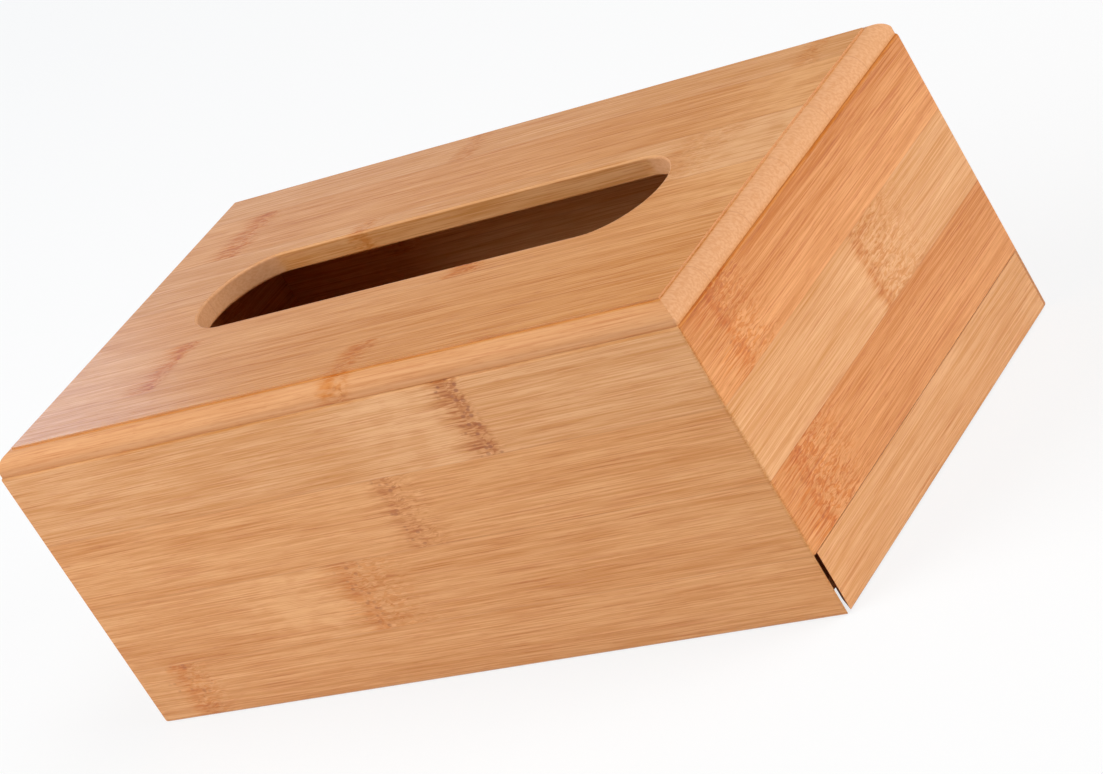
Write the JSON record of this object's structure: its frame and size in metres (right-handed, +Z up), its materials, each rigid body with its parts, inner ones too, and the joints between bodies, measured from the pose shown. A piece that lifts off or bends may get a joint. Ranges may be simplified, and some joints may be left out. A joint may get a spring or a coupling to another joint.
{
  "type": "tissue box cover",
  "caption": "Low rectangular bamboo tissue box with mitred walls, a rounded top edge, a long slot in the top for drawing tissues, and a base that slides out at one end.",
  "frame": {"origin": "centre of the footprint, on the surface that the box stands on", "axes": "+X along the box to the end where the base comes out, +Y to the back, +Z up"},
  "size_m": [0.22, 0.12, 0.085],
  "materials": {
    "bamboo_top": "satin lacquer",
    "bamboo_wall": "satin lacquer",
    "bamboo_base": "sanded"
  },
  "bodies": {
    "case": {"back_wall_foot_slat": "bamboo_wall", "back_wall_slat_1": "bamboo_wall", "back_wall_slat_2": "bamboo_wall", "back_wall_slat_3": "bamboo_wall", "front_wall_foot_slat": "bamboo_wall", "front_wall_slat_1": "bamboo_wall", "front_wall_slat_2": "bamboo_wall", "front_wall_slat_3": "bamboo_wall", "left_wall_foot_slat": "bamboo_wall", "left_wall_slat_1": "bamboo_wall", "left_wall_slat_2": "bamboo_wall", "left_wall_slat_3": "bamboo_wall", "right_wall_slat_1": "bamboo_wall", "right_wall_slat_2": "bamboo_wall", "right_wall_slat_3": "bamboo_wall", "top_back_slat_1": "bamboo_top", "top_back_slat_2": "bamboo_top", "top_back_slat_3": "bamboo_top", "top_front_slat_1": "bamboo_top", "top_front_slat_2": "bamboo_top", "top_front_slat_3": "bamboo_top"},
    "base": {"base_back_slat_1": "bamboo_base", "base_back_slat_2": "bamboo_base", "base_back_slat_3": "bamboo_base", "base_front_slat_1": "bamboo_base", "base_front_slat_2": "bamboo_base", "base_front_slat_3": "bamboo_base", "pull_strip": "bamboo_wall"}
  },
  "joints": [
    {"name": "base_slide", "type": "slide", "parent": "case", "child": "base", "axis": [1, 0, 0], "range_m": [0, 0.22]}
  ]
}
